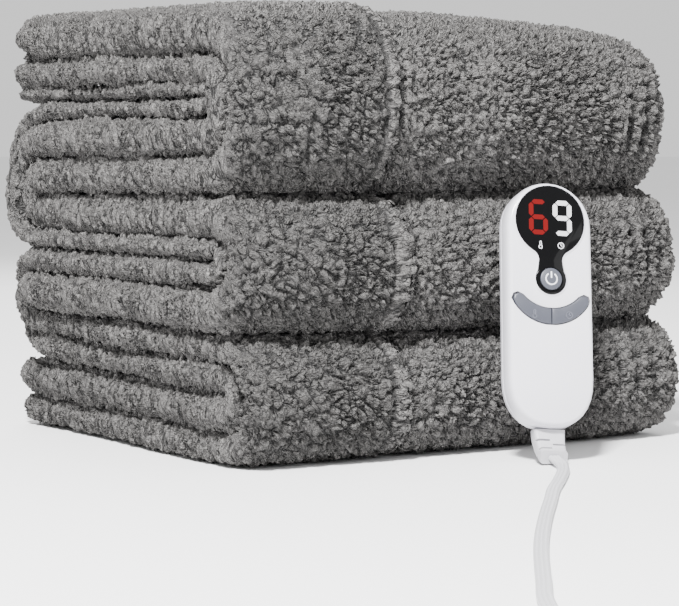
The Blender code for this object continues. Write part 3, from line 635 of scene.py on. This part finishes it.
# %% Marks on the button and the keys
BUTTON_FACE = -21.1 * MM
KEY_FACE = -20.9 * MM
KEY_MARK_X = 9.6 * MM  # on both sides of the case's middle
KEY_MARK_HEIGHT = 60.6 * MM
ON_BUTTON = (BUTTON_FACE - 0.08 * MM, BUTTON_FACE - 0.01 * MM)
ON_KEYS = (KEY_FACE - 0.22 * MM, KEY_FACE - 0.01 * MM)
POWER_STROKE = 0.75 * MM
power_ring = ring(3.1 * MM, 0, BUTTON_HEIGHT, 20, math.radians(125), math.radians(415))
power_bar = [(0, BUTTON_HEIGHT + 0.6 * MM), (0, BUTTON_HEIGHT + 3.9 * MM)]
power_mark = [(power_ring, POWER_STROKE, False), (power_bar, POWER_STROKE, False)]
PRINT_PALE = new_material("pad_printed_pale_ink", {
    "Base Color": linear("#E6E6EC"), "Roughness": 0.5})[0]
finish_piece("power_mark", marks(power_mark, *ON_BUTTON), "power_button", PRINT_PALE)
RAISED_GREY = moulded_plastic("raised_grey_abs", "#5C5E68", 0.45, 0.02 * MM)
finish_piece("temp_mark", marks(thermometer(-KEY_MARK_X, KEY_MARK_HEIGHT, 4.6 * MM), *ON_KEYS),
             "temp_key", RAISED_GREY)
finish_piece("timer_mark", marks(clock(KEY_MARK_X, KEY_MARK_HEIGHT, 4.4 * MM), *ON_KEYS),
             "timer_key", RAISED_GREY)

# %% [markdown]
# ## The blanket's pile
#
# The cloth is polyester sherpa: a knitted ground with a pile that is brushed and curled into
# tufts of about 5 mm, pressed against each other. Strands of hair would need millions of them,
# and bump alone leaves a smooth outline. So the cloth's skin that shows is cut fine and pushed
# in and out by a height that rises in round tufts and drops in the creases between them.
#
# The same few nodes give the height twice: once in a geometry node tree, for every corner of
# the skin, and once in the material, where they paint each crease's shade as a thin dark line
# exactly in its valley.

# %% The pattern of the tufts
TUFT = 4.6  # mm across
CURL = 2.3  # mm, the smaller lumps that a tuft is made of
STROKE_STRETCH = 0.42  # on the folded edges the tufts lie as strokes across the fold


def bent(tree, place, size, reach):
    """A place in millimetres, moved about by up to half the reach."""
    cloud = noisy(tree, place, size, 1.0).node.outputs["Color"]
    centred = add_node(tree, "ShaderNodeVectorMath", {"operation": "SUBTRACT"}, {
        0: cloud, 1: (0.5, 0.5, 0.5)})
    scaled = add_node(tree, "ShaderNodeVectorMath", {"operation": "SCALE"}, {
        0: centred, "Scale": reach})
    return add_node(tree, "ShaderNodeVectorMath", {"operation": "ADD"}, {0: place, 1: scaled})


def to_crease(tree, place, size):
    """The distance to the nearest crease, from 0 to about 0.5, between lumps of a size."""
    return add_node(tree, "ShaderNodeTexVoronoi", {"feature": "DISTANCE_TO_EDGE"}, {
        "Vector": place, "Scale": 1 / size})


def dome(tree, distance, width):
    """A round rise from 0 in the crease to 1 at a width from it."""
    return add_node(tree, "ShaderNodeMapRange", {"interpolation_type": "SMOOTHSTEP"}, {
        "Value": distance, "From Min": 0.0, "From Max": width, "To Min": 0.0, "To Max": 1.0})


def worm(tree, place, size, width):
    """Curly lumps with thin creases: the distance of a noise from its middle value."""
    away = maths(tree, "ABSOLUTE", maths(tree, "SUBTRACT", noisy(tree, place, size, 0.0), 0.5))
    return dome(tree, away, width)


def tufts(tree, place, crease):
    """Heights of tufts and curls at a place in millimetres, with creases of a width."""
    warped = bent(tree, bent(tree, place, 9.0, 8.0), 3.0, 4.6)
    warped = bent(tree, warped, 1.4, 1.5)
    merge = add_node(tree, "ShaderNodeMapRange", None, {
        "Value": noisy(tree, place, 5.0, 0.0), "From Min": 0.48, "From Max": 0.75,
        "To Min": 0.0, "To Max": 0.18})
    tuft = dome(tree, maths(tree, "ADD", to_crease(tree, warped, TUFT), merge), crease)
    curl = worm(tree, warped, CURL, crease * 0.7)
    return tuft, curl


def both_ways(tree, place, side, crease):
    """Tufts on the open cloth, and strokes across the fold where side is 1."""
    stretched = add_node(tree, "ShaderNodeVectorMath", {"operation": "MULTIPLY"}, {
        0: place, 1: (1.0, 1.25, STROKE_STRETCH)})
    return [add_node(tree, "ShaderNodeMix", None, {"Factor": side, 2: open_cloth, 3: folded})
            for open_cloth, folded in zip(tufts(tree, place, crease), tufts(tree, stretched, crease))]


# %% Finding the cloth that shows
FREE_AIR = 12 * MM  # a face shows if a ray from it stays free this far
CAMERA_REACH = 2.0  # more than the camera's distance


def after_modifier(form, kind, settings):
    """A form as one modifier leaves it, worked out on an object that is removed again."""
    thing = add_object("work", mesh_from(form, "work"))
    modifier = thing.modifiers.new("work", kind)
    for name, value in settings.items():
        setattr(modifier, name, value)
    result = bmesh.new()
    result.from_object(thing, bpy.context.evaluated_depsgraph_get())
    bpy.data.meshes.remove(thing.data)  # the object goes with it
    return result


def showing_faces(form):
    """The faces that have free air before them, straight ahead or at a slant."""
    tree = BVHTree.FromBMesh(form)
    slants = [Vector(way) for way in ((1, 0, 0), (-1, 0, 0), (0, 1, 0), (0, -1, 0), (0, 0, 1))]
    found = []
    for face in form.faces:
        start = face.calc_center_median()
        if start.z < 0.6 * MM and face.normal.z < -0.9:  # it lies on the floor
            continue
        ways = [face.normal] + [(face.normal + slant * 0.9).normalized()
                                for slant in slants if slant.dot(face.normal) > -0.2]
        if any(tree.ray_cast(start + face.normal * 0.2 * MM, way, FREE_AIR)[0] is None for way in ways):
            found.append(face)
    return found


def sees_camera(tree, face, over, least):
    """Whether a face turns to the camera at least this much, with nothing in between."""
    start = face.calc_center_median() + face.normal * over * MM
    way = (CAMERA_PLACE - start).normalized()
    return face.normal.dot(way) > least and tree.ray_cast(start, way, CAMERA_REACH)[0] is None


skin = merged_form("blanket")
bmesh.ops.triangulate(skin, faces=skin.faces[:])
skin = after_modifier(skin, "SUBSURF", {"levels": 1, "render_levels": 1})

# %% [markdown]
# ### The flap's hem
#
# The outermost layer is a short flap. Its hem is turned under and sewn down 10 to 15 mm from
# the edge, so it makes a band of flatter pile with a groove along the stitches. On the photo,
# each bundle's hem stands a little further left than on its solid, so the skin is drawn over
# by that much.

# %% Where the hem lies
HEMS = [
    # lowest z of the bundle, the hem's edge on the solid, how far it is drawn over, and the
    # distance from the edge to the stitches, all but the first in mm
    (0.142, -47.5, -7.0, 9.5),
    (0.069, -40.5, -4.5, 15.0),
    (-1.0, -43.0, -5.0, 12.0),
]
HEM_REACH = 16 * MM  # the cloth gives way over this length on both sides


def ease(value, start, end):
    """0 before start, 1 after end, smooth between."""
    share = min(1.0, max(0.0, (value - start) / (end - start)))
    return share * share * (3 - 2 * share)


def hem_at(z):
    """The hem's edge, its shift and its stitches' distance at a height, in mm."""
    return next(hem[1:] for hem in HEMS if z > hem[0])


for spot in skin.verts:
    edge, shift, _ = hem_at(spot.co.z)
    spot.co.x += shift * MM * (1 - ease(abs(spot.co.x - edge * MM), 3 * MM, HEM_REACH))

# %% The skin that shows
skin.normal_update()
skin.verts.index_update()
showing = set(showing_faces(skin))
tree = BVHTree.FromBMesh(skin)
showing |= {face for face in skin.faces if sees_camera(tree, face, 0.3, 0)}
SMALL_FACE = 40 * MM * MM  # the ring of faces round a smaller one shows too
showing |= {other for face in list(showing) for edge in face.edges for other in edge.link_faces
            if face.calc_area() < SMALL_FACE}

# %% [markdown]
# ### Layers that press on each other
#
# The solids keep a narrow gap between layers, but real pile fills it: the layers touch, and
# only a thin dark line is left. So every corner of the skin looks straight out, and where it
# meets other cloth close by, it swells halfway over to it.

# %% How far each place swells
PRESS_REACH = 7 * MM
PRESS_MOST = 2.6 * MM
DARK_LINE = 0.08 * MM  # what each layer keeps away from the middle between them
# From and to where a change goes on, in metres: towards the front, towards the left, and from
# the left front corner to the back; and how far a normal has to point left.
FOLDED_FRONT = (0.080, 0.095)
LEFT_END = (0.125, 0.140)
BEHIND_CORNER = (-0.098, -0.085)
FACING_LEFT = (0.35, 0.8)
swell = skin.verts.layers.float.new("swell")
side = skin.verts.layers.float.new("side")
tree = BVHTree.FromBMesh(skin)
for spot in skin.verts:
    gap = tree.ray_cast(spot.co + spot.normal * 0.1 * MM, spot.normal, PRESS_REACH)[3]
    if gap is not None:
        folded_front = ease(-spot.co.y, *FOLDED_FRONT)
        near = 1 - ease(gap, PRESS_REACH * 0.7, PRESS_REACH)
        spot[swell] = min(max(0.0, gap / 2 - DARK_LINE), PRESS_MOST) * near * (1 - 0.8 * folded_front)
    on_left = ease(-spot.co.x, *LEFT_END) * ease(spot.co.y, *BEHIND_CORNER)
    spot[side] = ease(-spot.normal.x, *FACING_LEFT) * on_left

# %% [markdown]
# ### Small folds
#
# Near its right end each bundle is pressed together, and its front wrinkles in three or four
# short upright creases. They are soft grooves, each with its own place, height and length.

# %% Grooves by the right end
WRINKLES = [
    # x, middle z, half its height and its depth
    (93.0, 170, 14, 3.4), (107.0, 176, 24, 4.4), (118.5, 178, 24, 4.4), (129.0, 186, 20, 3.4),
    (95.0, 122, 12, 2.8), (108.0, 114, 20, 4.2), (119.5, 114, 24, 4.2), (130.0, 108, 18, 3.4),
    (97.0, 46, 12, 2.8), (110.0, 40, 17, 4.0), (122.5, 40, 18, 3.8),
]


def groove(offset, width):
    """1 in the middle of a groove, 0 beside it."""
    return math.exp(-(offset / width) ** 2)


def folds(spot, width):
    """How deep the small folds are at a place on the front, in metres."""
    if spot.co.y > -0.07 or spot.co.x < 0.08:
        return 0.0
    x, z = spot.co.x / MM, spot.co.z / MM
    sway = 1.6 * noise.noise(Vector((0, 0, z / 11)))
    dimples = 0.75 + 0.25 * math.sin(z / 1.1)
    return MM * dimples * sum(depth * groove(x - at - sway, width) * groove(z - middle, half)
                    for at, middle, half, depth in WRINKLES)


# %% [markdown]
# ### The cloth under the pile
#
# Under the tufts lies the knitted ground, which shows only at the bottom of the creases. It is
# the whole rounded solid with its outside drawn in, so that it stays behind the pile, and darker
# with painted shade.

# %% Knitted ground
GROUND_DEPTH = 3.3 * MM
UNDER_FOLDS = 1.5  # times a fold's depth, so that the ground stays under the pile there
# Painted shade on the knitted ground: a little darker between the layers, much darker under the pile.
SHADE_BETWEEN_LAYERS = 0.9  # of the cloth between the layers
SHADE_UNDER_PILE = 0.4
ground = skin.copy()
outside = {spot.index for face in showing for spot in face.verts}
ground_place = ground.verts.layers.float_vector.new("cloth_place")
ground_painted_shade = ground.verts.layers.float.new("painted_shade_factor")
ground_swell = ground.verts.layers.float["swell"]
for spot in ground.verts:
    spot[ground_place] = spot.co / MM
    # Painted shade: the ground is darker between the layers, and much darker under the pile.
    spot[ground_painted_shade] = SHADE_BETWEEN_LAYERS
    if spot.index in outside:
        drawn_in = GROUND_DEPTH - spot[ground_swell] + UNDER_FOLDS * folds(spot, 6.0)
        spot.co -= spot.normal * max(0.0, drawn_in)
        spot[ground_painted_shade] = SHADE_UNDER_PILE
    spot.co.z = max(spot.co.z, 0.45 * MM)

# %% Keep the skin that shows
bmesh.ops.delete(skin, geom=[face for face in skin.faces if face not in showing], context="FACES")
print(f"skin that shows: {sum(face.calc_area() for face in skin.faces):.3f} m2")

# %% Cut the skin fine, finest where the photo looks
FINE = 2.0 * MM  # the longest edge on the photo's side
COARSE = 4.2 * MM  # and elsewhere
CUT_PASSES = 8
SMOOTH_PASSES = 3
near_side = skin.faces.layers.int.new("near_side")
tree = BVHTree.FromBMesh(skin)
for face in skin.faces:
    if sees_camera(tree, face, 1.5, -0.15):
        face[near_side] = 1
for face in [face for face in skin.faces if face[near_side]]:
    for edge in face.edges:
        for other in edge.link_faces:
            other[near_side] = 1
for _ in range(CUT_PASSES):
    long_edges = [edge for edge in skin.edges if edge.calc_length() > (
        FINE if any(face[near_side] for face in edge.link_faces) else COARSE)]
    if not long_edges:
        break
    bmesh.ops.subdivide_edges(skin, edges=long_edges, cuts=1, use_grid_fill=True)
for _ in range(SMOOTH_PASSES):
    bmesh.ops.smooth_vert(skin, verts=skin.verts[:], factor=0.5,
                          use_axis_x=True, use_axis_y=True, use_axis_z=True)
place = skin.verts.layers.float_vector.new("cloth_place")
hem = skin.verts.layers.float.new("hem")  # mm from the flap's edge, less than 0 on the flap
# The crease value is painted shade: it darkens the pile's colour, and sinks its bump, in the stitch
# groove, in the line beside the flap's edge and in the pressed-in folds.
skin.verts.layers.float.new("crease")  # 1 in a sewn or pressed-in line
# The painted shade factor darkens the colour: on the front of the flap here, and on the knitted ground
# under the pile and between the layers.
skin.verts.layers.float.new("painted_shade_factor")  # less than 1 where the pile is deeper and so looks darker
# The flap's pile is less pressed: its tufts are larger, and drawn out downwards to the right. On
# the hem's band they lie as short strokes across it. The hem's lines wander a little.
RAGGED = [(0.9, 6 * MM), (0.5, 2.5 * MM)]  # how far, in mm, and the size of the noise's lumps
LARGER = Matrix.Scale(0.92, 3) @ Matrix.Scale(0.72, 3, Vector((1, 0, -1)).normalized())
ACROSS_BAND = Matrix.Diagonal((0.4, 1.0, 1.0))
for spot in skin.verts:
    edge, shift, stitches = hem_at(spot.co.z)
    ragged = sum(reach * noise.noise(spot.co / length) for reach, length in RAGGED)
    spot[hem] = spot.co.x / MM - edge - shift + ragged
    spot[place] = spot.co / MM
    if spot[hem] < -stitches:
        spot[place] = LARGER @ spot.co / MM
    elif spot[hem] < 1.0:
        spot[place] = ACROSS_BAND @ spot.co / MM
print(f"skin: {sum(len(face.verts) - 2 for face in skin.faces)} triangles")

# %% Height of the pile at every corner
heights = bpy.data.node_groups.new("pile_heights", "GeometryNodeTree")
heights.interface.new_socket("Geometry", in_out="INPUT", socket_type="NodeSocketGeometry")
heights.interface.new_socket("Geometry", in_out="OUTPUT", socket_type="NodeSocketGeometry")
skin_in = add_node(heights, "NodeGroupInput")
place_in = add_node(heights, "GeometryNodeInputNamedAttribute", {"data_type": "FLOAT_VECTOR"}, {
    "Name": "cloth_place"})
side_in = add_node(heights, "GeometryNodeInputNamedAttribute", {"data_type": "FLOAT"}, {"Name": "side"})
tuft, curl = both_ways(heights, place_in, side_in, 0.34)
height = maths(heights, "MULTIPLY", tuft, maths(heights, "MULTIPLY_ADD", curl, 0.35, 0.65))
lump = maths(heights, "MULTIPLY_ADD", noisy(heights, place_in, 14.0, 0.0), 0.2, -0.1)
height = maths(heights, "ADD", height, lump)
stored = add_node(heights, "GeometryNodeStoreNamedAttribute", {
    "data_type": "FLOAT", "domain": "POINT"}, {"Geometry": skin_in, "Name": "pile", "Value": height})
heights.links.new(stored, heights.nodes.new("NodeGroupOutput").inputs[0])
skin = after_modifier(skin, "NODES", {"node_group": heights})
skin.normal_update()

# %% Push the tufts out and the creases in
PILE_DEPTH = 4.2 * MM
STILL_HEIGHT = 0.62  # the height in the pattern that neither rises nor sinks
STITCH_DEPTH = 2.2 * MM
BAND_RISE = 0.7 * MM
UNDER_HEM = 1.2 * MM  # how deep the cloth sinks beside the flap's edge
# Painted shade in folds: a fold this deep gets the full painted shade of the stitch groove.
FULLY_SHADED_FOLD = 3.2 * MM  # a fold this deep is as dark as the stitches
FLAP_SHADE = 0.36
pile, swell, side, hem, crease, painted_shade_factor = (
    skin.verts.layers.float[name] for name in ("pile", "swell", "side", "hem", "crease", "painted_shade_factor"))
moves = []
for spot in skin.verts:
    # Where layers press on each other, on the left and on the band the pile is shallower, and
    # on the first two it stands out of the skin.
    pressed = min(1.0, spot[swell] / (1.5 * MM))
    base = STILL_HEIGHT - 0.4 * max(spot[side], pressed * 0.6)
    stitches = hem_at(spot.co.z)[2]
    band = ease(spot[hem], -stitches, 1 - stitches) * (1 - ease(spot[hem], 0.5, 3.0))
    stitch = groove(spot[hem] + stitches, 1.0) * (0.7 + 0.3 * math.sin(spot.co.z / (0.7 * MM)))
    under = 0.8 * groove(spot[hem] - 2.6, 1.3)  # the dark line just beside the flap's edge
    deep = PILE_DEPTH * (1 - 0.4 * spot[side]) * (1 - 0.45 * pressed) * (1 - 0.4 * band)
    pressed_in = folds(spot, 2.8)
    rise = (spot[pile] - base) * deep - STITCH_DEPTH * stitch + BAND_RISE * band - UNDER_HEM * under
    moves.append(spot.normal * (rise + spot[swell] - pressed_in))
    # Painted shade: the crease value darkens the pile in the stitch groove, in the line just beside the
    # flap's edge and in the deeper pressed-in folds.
    spot[crease] = min(1.0, max(stitch, under, pressed_in / FULLY_SHADED_FOLD))
    # Painted shade: the flap's front is darker, as its deeper pile would look.
    on_flap = (1 - ease(spot[hem], -1 - stitches, 1 - stitches)) * (1 - spot[side])
    spot[painted_shade_factor] = 1 - FLAP_SHADE * on_flap * ease(-spot.co.y, 0.080, 0.100)
for spot, move in zip(skin.verts, moves):
    spot.co += move
    spot.co.z = max(spot.co.z, 0.1 * MM)
print(f"pile moved by up to {max(move.length for move in moves) / MM:.2f} mm")

# %% [markdown]
# ### Sherpa material
#
# Each tuft is a bundle of crimped fibres 0.02 mm thick, far too fine to show, so the finest
# pattern is drawn 0.7 mm coarse. The colour is a warm mid grey on the tips that drops to
# near black in the creases: painted shade, where no light gets in.

# %% Sherpa fleece
def stored_value(tree, name, output="Fac"):
    """A value that the mesh has at every corner."""
    return add_node(tree, "ShaderNodeAttribute", {"attribute_name": name}).node.outputs[output]


def sherpa(name):
    """Brushed polyester pile: matt, with a faint sheen from the fibre tips."""
    material, tree = new_material(name, {
        "Roughness": 0.95, "Sheen Weight": 0.05, "Sheen Roughness": 0.6, "Specular IOR Level": 0.2})
    place = stored_value(tree, "cloth_place", "Vector")
    tuft, curl = both_ways(tree, place, stored_value(tree, "side"), 0.13)
    fibre = noisy(tree, bent(tree, place, 2.5, 3.0), 0.7, 1.0)
    tuft_rise = maths(tree, "MULTIPLY_ADD", tuft, 0.8, 0.2)
    curl_rise = maths(tree, "MULTIPLY_ADD", curl, 0.6, 0.4)
    strand = maths(tree, "MULTIPLY", tuft_rise, curl_rise)
    strand = maths(tree, "MULTIPLY", strand, maths(tree, "MULTIPLY_ADD", fibre, 1.2, 0.4))
    # Painted shade: the stitches, the line beside the flap's edge and the pressed-in folds darken the
    # colour, and sink the bump, by up to 0.8.
    painted_crease_shade = maths(tree, "MULTIPLY_ADD", stored_value(tree, "crease"), -0.8, 1.0)
    strand = maths(tree, "MULTIPLY", strand, painted_crease_shade)
    # The ramp paints shade into the colour: near black in the valleys of the tufts and curls, mid grey
    # on their tips.
    ramp = tree.nodes.new("ShaderNodeValToRGB")
    tree.links.new(strand, ramp.inputs["Fac"])
    ends = ramp.color_ramp.elements
    ends[0].position, ends[0].color = 0.10, linear("#060606")
    ends[1].position, ends[1].color = 1.0, linear("#7E7C7A")
    for position, code in [(0.34, "#3C3B3A"), (0.62, "#666463")]:
        ends.new(position).color = linear(code)
    # The colour is scaled by the painted shade factor: darker on the flap's front and on the knitted
    # ground.
    colour = add_node(tree, "ShaderNodeVectorMath", {"operation": "SCALE"}, {
        0: ramp.outputs["Color"], "Scale": stored_value(tree, "painted_shade_factor")})
    shade(tree, {"Base Color": colour, "Normal": bump(tree, strand, 5.6 * MM)})
    return material


SHERPA = sherpa("brushed_polyester_sherpa")

# %% Split the skin into pieces
LEFT, RIGHT = -0.105, 0.105  # where the pieces meet, along x
FRONT = -0.06  # and along y
PARTS = {
    # a face belongs to the first piece whose test its middle passes
    "pile_left_low": lambda c: c.x < LEFT and c.z < 0.080,
    "pile_left_middle": lambda c: c.x < LEFT and c.z < 0.160,
    "pile_left_high": lambda c: c.x < LEFT,
    "pile_front_left": lambda c: c.y < FRONT and c.x < -0.02,
    "pile_front_middle": lambda c: c.y < FRONT and c.x < 0.055,
    "pile_front_right": lambda c: c.y < FRONT,
    "pile_top_and_back": lambda c: c.x < RIGHT,
    "pile_right": lambda c: True,
}
whole = mesh_from(skin, "whole")
normals = np.empty(len(whole.vertices) * 3)
whole.vertex_normals.foreach_get("vector", normals)
normals = normals.reshape(-1, 3)
part_of = {name: [] for name in PARTS}
for face in whole.polygons:
    name = next(name for name, inside in PARTS.items() if inside(face.center))
    part_of[name].append(face.index)

for name, indices in part_of.items():
    part = bmesh.new()
    part.from_mesh(whole)
    number_of = part.verts.layers.int.new("number")
    for spot in part.verts:
        spot[number_of] = spot.index
    part.faces.ensure_lookup_table()
    keep = set(indices)
    others = [face for face in part.faces if face.index not in keep]
    bmesh.ops.delete(part, geom=others, context="FACES")
    numbers = [spot[number_of] for spot in part.verts]
    triangles = sum(len(face.verts) - 2 for face in part.faces)
    piece = finish_piece(name, part, "blanket_set", SHERPA, 180)
    piece.data.normals_split_custom_set_from_vertices([tuple(normals[number]) for number in numbers])
    print(f"{name}: {triangles} triangles")
bpy.data.meshes.remove(whole)

# %% The ground as a piece
cloth = finish_piece("blanket_cloth", ground, "blanket_set", SHERPA, 180)
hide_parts("blanket")
